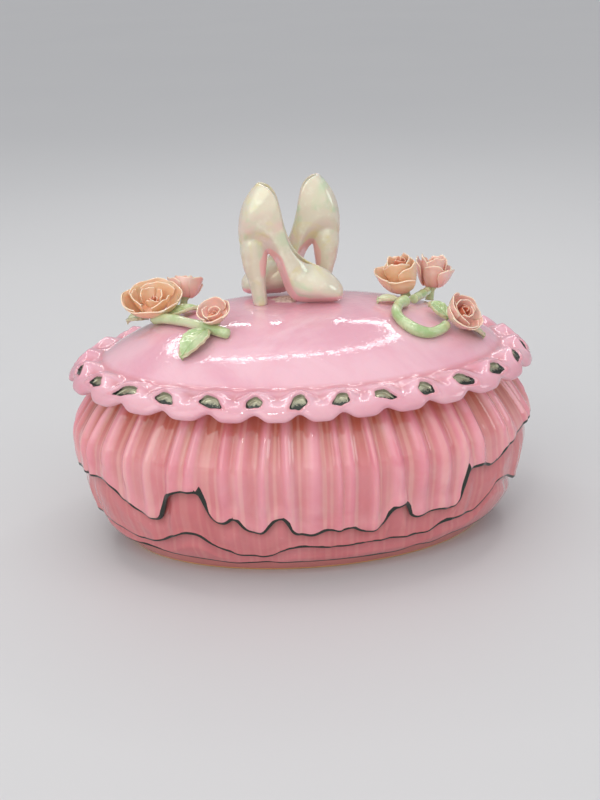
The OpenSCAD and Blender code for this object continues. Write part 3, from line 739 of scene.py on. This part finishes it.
# ---- shoes
SHOE = [  # lower edge x z, side x z, upper edge x z, half widths at the three, how open
    (-3.0, 17, -8.2, 36.5, 3.4, 47.2, 0.6, 1.0, 0.8, 0),
    (-2.2, 18, -6.8, 36.5, 4.8, 47.0, 2.2, 3.6, 2.4, 0.0),
    (-0.6, 19, -4.4, 36, 6.6, 46.2, 3.1, 5.1, 3.5, 0.9), (1.6, 19.9, -0.6, 35, 8.7, 44.4, 3.6, 5.9, 4.5, 1),
    (4.2, 20.3, 3.8, 33, 10.4, 41.4, 3.9, 6.3, 5.1, 1), (6.8, 19.6, 7.8, 29.6, 11.7, 36, 4, 6.4, 5.5, 1),
    (9.2, 16, 11, 24, 13, 29.6, 4, 6.5, 5.6, 1), (11, 10.6, 13.4, 17.6, 15, 23.4, 4.3, 6.6, 5.4, 1),
    (13, 4.8, 15.8, 11.8, 17.6, 19.2, 5, 6.9, 5, 1), (15.8, 1.4, 18.5, 8.4, 20.4, 16.8, 5.6, 7.2, 3.6, 0.9),
    (19.4, 0.2, 21.6, 7.6, 22.8, 15.8, 5.9, 7.4, 1.4, 0.3), (23.6, 0, 25, 7.1, 25.8, 14.6, 5.9, 7.3, 0.8, 0),
    (28, 0, 29, 6, 29.2, 12.6, 5.1, 6.4, 0.8, 0), (31.6, 0.1, 32.4, 4.8, 32.4, 9.6, 3.7, 4.8, 0.7, 0),
    (34, 1, 34.6, 4, 34.4, 6.8, 1.9, 2.5, 0.5, 0), (34.9, 2.6, 35.1, 4, 34.9, 5.4, 0.5, 0.7, 0.2, 0)]
# Side view of the pink band that runs down the heel's front and along the sole
SHOE_BAND = [(5.4, 12), (5.6, 17), (7.2, 20.2), (9.6, 18.4), (11.6, 12), (13.6, 6), (16.6, 2.6), (22, 1.4),
             (33, 1.4)]


def shoe_point(s, t):
    """Side view and half width of a section at t, from 0 under the shoe to 1 at its upper edge."""
    c, m, e = s[..., 0:2], s[..., 2:4], s[..., 4:6]
    lo, mi, hi = s[..., 6], s[..., 7], s[..., 8]
    w = np.asarray(t, float)[..., None]
    xz = (1 - w) ** 2 * c + 2 * w * (1 - w) * m + w * w * e
    h = unit((t - 0.45) / 0.55)
    grow = np.where(t < 0.45, lo + (mi - lo) * t / 0.45, mi + (hi - mi) * h * h)
    y = np.sin(np.minimum(math.pi / 2, t * 3.67)) * grow
    return xz, y


def there_and_back(n):
    return np.concatenate([np.linspace(1, 0, n), np.linspace(0, 1, n)[1:]])


def shoe_grid():
    """Sections of the shoe from heel to toe, each round the outside and back over the inside."""
    st = spline(SHOE, 110)
    st[:, 6:] = np.maximum(st[:, 6:], 0)
    n_out, n_in, wall = 26, 18, 1.25
    rows = []
    for i, t in enumerate(there_and_back(n_out)):
        xz, y = shoe_point(st, t)
        rows.append(np.stack([xz[:, 0], y * (-1 if i < n_out else 1), xz[:, 1]], -1))
    g = unit(st[:, 9])
    for i, t in enumerate(there_and_back(n_in)):
        xz, y = shoe_point(st, 1 - (1 - t) * (g * 0.84 + 0.04))
        y = t * (g * np.maximum(0.3, y - wall) + (1 - g) * st[:, 8] * 0.6)
        rows.append(np.stack([xz[:, 0], y * (1 if i < n_in else -1), xz[:, 1]], -1))
    return np.stack(rows, 1)


def heel_grid():
    """Waisted heel, from height, middle and the two half widths."""
    prof = spline([(0, 2.8, 2.8, 2.6), (1, 2.8, 2.85, 2.65), (5, 2.4, 3, 2.6), (10, 1.8, 3.5, 2.8),
                   (14, 1.3, 4.3, 3.1), (18, 1.2, 4.9, 3.6), (22, 1.0, 5.2, 4.1), (26, 1.2, 4.4, 3.6),
                   (29, 1.4, 2.6, 2)], 50)
    a = np.radians(np.arange(0, 360, 9))[:, None]
    return np.stack([prof[None, :, 1] + prof[None, :, 2] * np.cos(a),
                     prof[None, :, 3] * np.sin(a) + 0 * prof[None, :, 0], prof[None, :, 0] + 0 * a], -1)


def polyline_distance(x, z, pts):
    """Distance of points to a chain of straight lines."""
    best = np.full(x.shape, 99.0)
    for (x0, z0), (x1, z1) in zip(pts[:-1], pts[1:]):
        dx, dz = x1 - x0, z1 - z0
        t = unit(((x - x0) * dx + (z - z0) * dz) / (dx * dx + dz * dz))
        best = np.minimum(best, np.hypot(x - x0 - t * dx, z - z0 - t * dz))
    return best


def build_shoe(name, x, y, way):
    """Shoe and heel cast as one, smoothed, and stood on top of the dome."""
    ob = join(name, [capped(name + "_a", np.swapaxes(shoe_grid(), 0, 1)), capped(name + "_b", heel_grid())])
    m = ob.modifiers.new("cast", "REMESH")
    m.mode, m.voxel_size = "VOXEL", 0.34 * MM
    s = ob.modifiers.new("soften", "SMOOTH")
    s.factor, s.iterations = 0.6, 9
    settle(ob)
    co = points(ob)
    d = polyline_distance(co[:, 0], co[:, 2], SHOE_BAND)
    down = np.where(co[:, 0] < 7, ramp(co[:, 2], 7, 17), 1 - 0.5 * ramp(co[:, 0], 11, 19))
    add_attr(ob, "band", (1 - ramp(d, 1.3, 3.4)) * down)
    low = co[:, 2].min()
    ob.data.transform(shift(x, y, DOME_Z + DOME_RISE - low - 0.15) @ turn(way))
    return ob


def build_clay_pad():
    """Ragged pad of clay pressed between the shoes and the dome."""
    a = np.linspace(0, 2 * math.pi, 96, endpoint=False)[:, None]
    t = np.linspace(0.02, 1, 24)[None]
    rag = 1 + 0.12 * np.sin(3 * a + 1) + 0.08 * np.sin(7 * a) + 0.05 * np.sin(13 * a + 2)
    x, y = -3.5 + 7.2 * t * rag * np.cos(a), 6.5 + 3.9 * t * rag * np.sin(a)
    lump = 0.25 * np.sin(3.1 * x) * np.sin(2.7 * y + 1) + 0.15 * np.sin(6.3 * x + y)
    top = np.stack([x, y, skin(x, y) + 0.9 * (1 - t ** 3) * (1 + lump) + 0.1], -1)
    low = np.stack([x, y, skin(x, y) - 0.8 + 0 * t], -1)[:, ::-1]
    p = np.concatenate([top, low], 1)
    return capped("shoe_pad", p)


# ---- roses
ROSES = {  # x, y, height over the skin, direction and amount of lean, spin, radius, how drawn-up
    "left_large": (-56.5, 7, 5.8, -110, 14, 0, 11.2, 1.0),
    "left_rear": (-44.5, 17, 5.6, 67, 22, 40, 7.5, 1.2),
    "left_small": (-34, -17.5, 4.8, -120, 26, 15, 6.8, 1.0),
    "right_large": (41.8, 8, 4.6, -165, 12, 20, 10, 1.2),
    "right_rear": (54.8, 17, 7.6, 50, 14, 70, 8.4, 1.4),
    "right_small": (57.8, -16, 4.8, -48, 46, 0, 8.2, 1.0),
}
# Petals of each rose, inner then outer: direction, half spread, root and rim radius, foot and rim
# height, curl, how pointed. Directions are turned with the rose; -90 is the front of the box.
INNER = {
    "left_large": [(-100, 46, .1, .32, .02, .52, .02, .6), (15, 50, .12, .36, .02, .6, .02, .5),
                   (130, 52, .14, .4, 0, .64, .02, .6), (-45, 50, .28, .58, 0, .54, .04, .7),
                   (70, 54, .3, .64, 0, .68, .04, .5), (185, 54, .3, .66, 0, .66, .04, .6)],
    "left_rear": [(-40, 70, .2, .46, 0, .86, .03, .4), (90, 72, .24, .5, 0, .9, .04, .6),
                  (200, 70, .26, .54, 0, .82, .04, .5)],
    "left_small": [(70, 80, .16, .3, 0, .52, .02, .3), (-70, 76, .2, .4, 0, .5, .02, .4),
                   (180, 60, .26, .56, 0, .62, .03, .3)],
    "right_large": [(10, 80, .2, .38, 0, 1.06, .02, .5), (130, 76, .24, .4, 0, 1.02, .02, .5),
                    (-110, 70, .3, .5, 0, .96, .03, .8)],
    "right_rear": [(-70, 70, .2, .48, 0, .92, .04, .8), (50, 66, .24, .52, 0, 1.0, .05, 1.0),
                   (165, 66, .26, .56, 0, .96, .05, 1.1)],
    "right_small": [(-30, 84, .2, .38, 0, .74, .02, .3), (100, 78, .25, .48, 0, .78, .03, .4),
                    (-140, 72, .32, .6, 0, .72, .04, .4)],
}
OUTER = {
    "left_large": [(95, 62, .4, .95, -.06, .64, .07, .5), (30, 60, .42, .98, -.06, .56, .07, .3),
                   (-45, 58, .42, .92, -.08, .42, .08, .3), (-112, 56, .42, .96, -.08, .44, .09, .5),
                   (172, 58, .42, 1.0, -.06, .6, .1, .9)],
    "left_rear": [(-95, 60, .36, .74, -.06, .8, .05, .2), (-20, 58, .38, .86, -.06, .86, .07, .5),
                  (60, 58, .4, .9, -.06, .7, .08, .6), (190, 60, .4, .88, -.06, .74, .08, .7)],
    "left_small": [(80, 70, .36, .86, -.06, .66, .05, .2), (0, 62, .38, .92, -.06, .62, .08, .9),
                   (-75, 64, .4, .84, -.08, .5, .05, .3), (165, 62, .38, .86, -.06, .6, .05, .3)],
    "right_large": [(-125, 66, .36, .82, -.1, .5, .1, .5), (-40, 70, .34, .64, -.08, .82, .03, .9),
                    (165, 60, .38, .98, -.1, .7, .1, .6), (80, 60, .38, .8, -.08, .84, .05, .8)],
    "right_rear": [(-100, 56, .34, .66, -.06, .66, .08, .7), (-30, 54, .36, .92, -.06, .6, .1, 1.3),
                   (40, 56, .36, .9, -.06, .72, .1, 1.2), (150, 56, .36, .82, -.06, .84, .08, 1.4)],
    "right_small": [(-70, 64, .38, .92, -.06, .62, .07, .2), (-5, 60, .4, .96, -.06, .62, .07, .3),
                    (60, 60, .4, .92, -.06, .64, .06, .3), (175, 62, .38, .84, -.06, .86, .06, .7),
                    (-130, 54, .4, .88, -.08, .56, .06, .4)],
}


def turn(degrees, axis="Z"):
    return Matrix.Rotation(math.radians(degrees), 4, axis)


def shift(x, y, z):
    return Matrix.Translation((x * MM, y * MM, z * MM))


def petal(name, r, spec, spin, rng, wall, flat=0.0):
    """One petal: a cupped pad of clay, thin at a wavy rim, its rim rolled a little outwards."""
    phi, half, r0, r1, z0, z1, curl, point = spec
    phi, half = math.radians(phi - spin), math.radians(half)
    u = np.linspace(-1, 1, 31)[:, None]
    t = np.linspace(0, 1, 17)[None]
    a_, b_, c_ = rng.uniform(-1, 1, 3)
    tip = t * (1 - (0.13 + 0.03 * a_) * np.abs(u) ** 3.2 - 0.07 * point * np.abs(u) ** 1.3
               + 0.05 * point * bell(u - 0.15 * b_, 0.3) + 0.018 * np.sin(9 * u + 4 * c_))
    ang = phi + half * u * (0.45 + 0.55 * np.sin(np.minimum(1, t * 1.4) * math.pi / 2))
    edge = ramp(tip, 0.7, 1.0)
    side = np.abs(u) ** 2
    rad = (r0 + (r1 - r0) * np.sin(tip * math.pi / 2) ** 0.8 + 0.06 * u * (1 if a_ > 0 else -1) * tip
           + curl * edge ** 2 * (0.5 + 0.8 * side) - 0.05 * side * tip)
    rad = (rad + 0.02 * np.sin(5 * u + 3 * c_) * tip ** 3) / np.cos(0.8 * half * u) ** flat
    z = (z0 + (z1 - z0) * tip ** 1.15 - curl * 0.5 * edge ** 2 * (0.3 + side)
         + 0.022 * np.sin(6 * u + b_ * 3) * tip ** 3)
    p = r * np.stack([rad * np.cos(ang), rad * np.sin(ang), z + 0 * ang], -1)
    # Where the painted cream rim highlight falls.
    rim = unit(ramp(t, 0.9, 1.0) + ramp(np.abs(u), 0.93, 1.0) * ramp(t, 0.4, 0.7))
    return sheet(name, p, wall, rim=rim, deep=(1 - tip) * (1.25 - r1))


def rolled_heart(name, r, wall, width, height, spin):
    """The rolled middle: one strip of clay curled once and a half round itself."""
    turns = np.linspace(0, 1, 70)[:, None]
    t = np.linspace(0, 1, 14)[None]
    ang = math.radians(-60 - spin) + turns * 2 * math.pi * 1.45
    rad = (width * (0.18 + 0.72 * turns ** 0.8) + 0.06 * np.sin(t * math.pi * 0.85) * turns
           + 0.04 * t ** 3 * turns)
    z = -0.1 + (height + 0.1 - 0.13 * turns + 0.05 * np.sin(ang * 2)) * t
    p = r * np.stack([rad * np.cos(ang), rad * np.sin(ang), z + 0 * ang], -1)
    # A weaker painted rim highlight along the heart's upper edge.
    return sheet(name, p, wall, rim=ramp(t, 0.9, 1.0) * 0.7, deep=1.0 - 0.35 * turns * t)


def rose_stalk(name, r, root):
    """Stalk from root radii below the rose up into its cup."""
    prof = spline([(-root, 0.21), (-0.2, 0.2), (-0.04, 0.34), (0.08, 0.42), (0.2, 0.3)], 24)
    a = np.radians(np.arange(0, 360, 12))[:, None]
    h, rad = prof.T[:, None]
    p = r * np.stack([rad * np.cos(a), rad * np.sin(a), h + 0 * a], -1)
    return capped(name, p, {"rim": 0 * h, "deep": np.where(h < -0.06, 2.0, 0.12)})


HEARTS = {  # width and height of the heart and depth of the root, as shares of the radius
    "left_large": (.13, .48, .45), "left_rear": (.24, .8, .45), "left_small": (.12, .42, .45),
    "right_large": (.26, 1.04, .32), "right_rear": (.24, .9, .53), "right_small": (.3, .72, .3)}


def build_rose(key, mats):
    """Heart on its stalk, inner and outer petals, as the three nodes of the CAD's rose."""
    x, y, h, d, lean, spin, r, tall = ROSES[key]
    rng = np.random.RandomState(sum(map(ord, key)))
    place = (shift(x, y, float(skin(x, y)) + h) @ turn(d) @ turn(lean, "Y") @ turn(spin - d)
             @ Matrix.Diagonal((1, 1, tall, 1)))
    wall = 0.42 + 0.014 * r
    flat = 0.8 if key == "left_large" else 0.35
    width, height, root = HEARTS[key]
    heart = join(key + "_heart", [rolled_heart("h", r, wall * 0.9, width, height, spin),
                                  rose_stalk("s", r, root)])
    inner = join(key + "_inner", [petal("p", r, q, spin, rng, wall * 0.9, flat) for q in INNER[key]])
    outer = join(key + "_outer", [petal("p", r, q, spin, rng, wall) for q in OUTER[key]])
    petals = "peach_petal" if "large" in key else "pink_petal"
    for ob, slot, part in ((heart, "rose_heart", "heart"), (inner, petals, "inner_petals"),
                           (outer, petals, "outer_petals")):
        ob.data.transform(place)
        finish_piece(ob, "lid", slot, mats, key + "_rose_" + part)


# ---- leaves and stems
LEAVES = {  # x, y, direction, length, width, root and tip height
    "left_front": (-37.6, -21.5, -141, 12.6, 11.5, 2.9, 1.8),
    "left_middle": (-51.2, 0.3, 10, 12, 7.5, 2.4, 1.9),
    "left_back": (-58.9, 8, 178, 8.5, 10, 3, 6),
    "right_flat": (38.5, -3.5, 178, 9.5, 5, 1.4, 1.3),
    "right_inner": (54.5, -14.5, 128, 9, 7, 2.2, 3.8),
    "right_end": (60.4, -15, 0, 8.5, 10, 1.5, 1.6),
}


def build_leaf(key):
    """Veined leaf with a wavy edge, rising from its root to its tip."""
    x, y, d, length, width, h0, h1 = LEAVES[key]
    rng = np.random.RandomState(sum(map(ord, key)) + 3)
    s = np.linspace(0.0, 1, 36)[:, None]
    v = np.linspace(-1, 1, 21)[None]
    half = width / 2 * (0.12 + 0.88 * np.sin(math.pi * s ** 0.8) ** 0.75) * (1 - 0.75 * ramp(s, 0.93, 1.0))
    half = half * (1 + 0.05 * np.sin(9 * s * math.pi) * np.abs(v))
    c, sn = math.cos(math.radians(d)), math.sin(math.radians(d))
    along, side = length * s + 0 * v, half * v
    px, py = x + along * c - side * sn, y + along * sn + side * c
    cx, cy = x + length * s * c, y + length * s * sn
    vein = 0.12 * np.cos(np.abs(v) * 9 - s * 26) * (1 - v * v) * ramp(np.abs(v), 0.05, 0.3)
    z = (skin(cx, cy) + h0 + (h1 - h0) * s + 0.9 * np.sin(math.pi * s) + 0.5 * v * v * (width / 7)
         - 0.45 * bell(v, 0.16) + vein + 0.25 * np.sin(4 * s + rng.uniform(0, 6)) * v)
    rim = ramp(np.abs(v), 0.84, 1.0)
    return sheet(key + "_leafblade", np.stack([px, py, z], -1), LEAF_WALL, rim=rim)


def build_stem(name, path, radius, seed):
    """Rolled clay stem along a path of x, y and height over the dome."""
    pts = spline(path, 80)
    c = np.stack([pts[:, 0], pts[:, 1], skin(pts[:, 0], pts[:, 1]) + pts[:, 2]], -1)
    tan = np.gradient(c, axis=0)
    tan /= np.linalg.norm(tan, axis=1, keepdims=True)
    side = np.cross(tan, (0, 0, 1.0))
    side /= np.linalg.norm(side, axis=1, keepdims=True)
    up = np.cross(side, tan)
    t = np.linspace(0, 1, 80)
    r = radius * (1 + 0.06 * np.sin(11 * t + seed) + 0.04 * np.sin(23 * t)) \
        * np.sqrt(unit(1 - (1 - ramp(t, 0, 0.03)) ** 2 * 0.75)) \
        * np.sqrt(unit(1 - ramp(t, 0.97, 1.0) ** 2 * 0.75))
    a = np.radians(np.arange(0, 360, 12))[:, None, None]
    p = c[None] + r[None, :, None] * (np.cos(a) * side[None] + np.sin(a) * up[None])
    return grid_object(name, p, wrap_v=False, poles=[c[0] - 0.4 * tan[0], c[-1] + 0.4 * tan[-1]],
                       attrs={"rim": np.zeros(p.shape[:2])})


STEMS = {  # path and radius
    "left_stem": ([(-57, 1.5, 3), (-54.5, -0.5, 2.9), (-51, -4, 2.6), (-45.5, -10, 2.3), (-41, -15, 2.2),
                   (-36.5, -19.5, 2.1), (-32, -23.5, 2.1), (-29.5, -25.5, 2.1)], 2.0),
    "right_loop_stem": ([(40.5, -5, 2.6), (37.5, -8, 2.3), (35.5, -12, 2.1), (34.2, -17, 2.1),
                         (35.2, -22, 2.1), (39.5, -26, 2.1), (45, -26.3, 2.2), (50, -23, 2.4),
                         (53, -19.5, 2.7)], 2.1),
    "right_short_stem": ([(44, -1, 2.2), (45, 0.5, 2.4), (48, 5, 3), (50.5, 9, 3.6), (52.4, 13.2, 4.4)], 1.7),
}


# ---- putting it together
def finish_piece(ob, body, slot, mats, *nodes):
    """Gives a piece the slot's material, puts it on its body and hides the CAD nodes it stands for."""
    ob.data.materials.clear()
    ob.data.materials.append(mats[slot])
    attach(ob, body)
    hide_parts(*nodes)


def build_base(mats):
    u = np.arange(2160) / 6.0
    (hem1, true1), (hem2, true2), (hem3, true3) = [hem_line(u, folds, soft) for folds, soft in (
        (UPPER_FOLDS, 0.9), (MIDDLE_FOLDS, 1.6), (LOWER_FOLDS, 2.0))]
    for ob, slot, node in (
            (build_skirt(u, hem1, true1), "skirt_glaze", "upper_skirt"),
            (build_middle(u, hem1, hem2, true2), "ruffle_glaze", "middle_ruffle"),
            (build_lower(u, hem2, hem3, true3), "ruffle_glaze", "lower_ruffle"),
            (build_foot(), "foot_clay", "foot_ring"),
            (build_bowl(), "bowl_glaze", "bowl")):
        finish_piece(ob, "base", slot, mats, node)


def build_top(mats):
    for ob, slot, *nodes in (
            (build_lid(), "lid_glaze", "lid_dome", "lid_ruffle"),
            (build_locating_ring(), "lid_glaze", "lid_locating_ring"),
            (build_shoe("shoe_front", -18.4, 2.2, -5), "pearl_glaze", "front_shoe"),
            (build_shoe("shoe_rear", 12.9, 13, 173), "pearl_glaze", "rear_shoe"),
            (build_clay_pad(), "clay_pad", "shoe_clay_pad")):
        finish_piece(ob, "lid", slot, mats, *nodes)
    for key in ROSES:
        build_rose(key, mats)
    for key in LEAVES:
        finish_piece(build_leaf(key), "lid", "leaf_glaze", mats, key + "_leaf")
    for seed, (key, (path, radius)) in enumerate(STEMS.items()):
        finish_piece(build_stem(key + "_rolled", path, radius, seed), "lid", "leaf_glaze", mats, key)


def disk_light(name, at, aim, size, power, colour):
    data = bpy.data.lights.new(name, "AREA")
    data.energy, data.color, data.shape, data.size = power, colour, "DISK", size
    ob = add_object(name, data)
    ob.location = at
    ob.rotation_euler = (Vector(aim) - Vector(at)).to_track_quat("-Z", "Y").to_euler()


FLOOR_HALF = 30.0
SKY_COLOUR, SKY_STRENGTH = (0.78, 0.79, 0.82, 1), 0.5
SUN_POWER, SUN_SPREAD, SUN_TILT = 1.25, 110, (38, -14, 0)
RING_AT, RING_RADIUS, RING_LAMPS = (-0.01, 0.30, 0.74), 0.36, 34


def build_floor():
    me = bpy.data.meshes.new("studio_floor")
    s = FLOOR_HALF
    me.from_pydata([(-s, -s, 0), (s, -s, 0), (s, s, 0), (-s, s, 0)], [], [(0, 1, 2, 3)])
    g = Graph("studio_floor")
    g.set(Base_Color=g.mix(g.noise(3, 2), (0.62, 0.62, 0.63), (0.65, 0.65, 0.655)), Roughness=0.6)
    me.materials.append(g.mat)
    add_object("studio_floor", me)


def build_lights():
    """Soft sky and sun, the ring of lamps that the dome mirrors, and three fill lamps."""
    world = bpy.data.worlds.new("studio")
    bpy.context.scene.world = world
    world.use_nodes = True
    sky = world.node_tree.nodes["Background"]
    sky.inputs["Color"].default_value = SKY_COLOUR
    sky.inputs["Strength"].default_value = SKY_STRENGTH
    sun = bpy.data.lights.new("sky_sun", "SUN")
    sun.energy, sun.angle = SUN_POWER, math.radians(SUN_SPREAD)
    add_object("sky_sun", sun).rotation_euler = [math.radians(v) for v in SUN_TILT]
    mid, aim = Vector(RING_AT), Vector((0, -0.02, 0.09))
    away = (mid - aim).normalized()
    across = away.cross(Vector((0, 0, 1))).normalized()
    above = across.cross(away)
    for i in range(RING_LAMPS):
        a = 2 * math.pi * i / RING_LAMPS
        at = mid + RING_RADIUS * (math.cos(a) * across + math.sin(a) * above)
        disk_light("ring_%d" % i, at, aim, 0.055, 0.062, (1, 0.985, 0.96))
    disk_light("front", (-0.55, -0.7, 0.6), (0, 0, 0.05), 0.8, 1.8, (1, 0.98, 0.95))
    disk_light("spark", (-0.14, -0.52, 0.76), (0, 0, 0.06), 0.09, 0.36, (1, 0.97, 0.92))
    disk_light("side", (0.95, -0.35, 0.45), (0, 0, 0.05), 0.4, 0.9, (0.96, 0.98, 1.0))


def build_camera():
    """Camera matched to the photo; its colours go out as they are, without a film curve."""
    data = bpy.data.cameras.new("view")
    data.lens, data.sensor_width, data.sensor_fit = 54.1, 36.0, "AUTO"
    data.shift_x, data.shift_y = -0.0053, 0.0218
    data.clip_start, data.clip_end = 0.01, 50
    ob = add_object("view", data)
    at, aim = Vector((-0.0470, -0.4437, 0.2273)), Vector((0, 0, 0.045))
    ob.matrix_world = (Matrix.Translation(at) @ (aim - at).to_track_quat("-Z", "Y").to_matrix().to_4x4()
                       @ turn(-1.56))
    bpy.context.scene.camera = ob
    bpy.context.scene.view_settings.view_transform = "Standard"


def main():
    for ob in list(bpy.data.objects):
        bpy.data.objects.remove(ob)
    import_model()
    build_camera()
    mats = build_materials()
    build_base(mats)
    build_top(mats)
    build_floor()
    build_lights()


main()
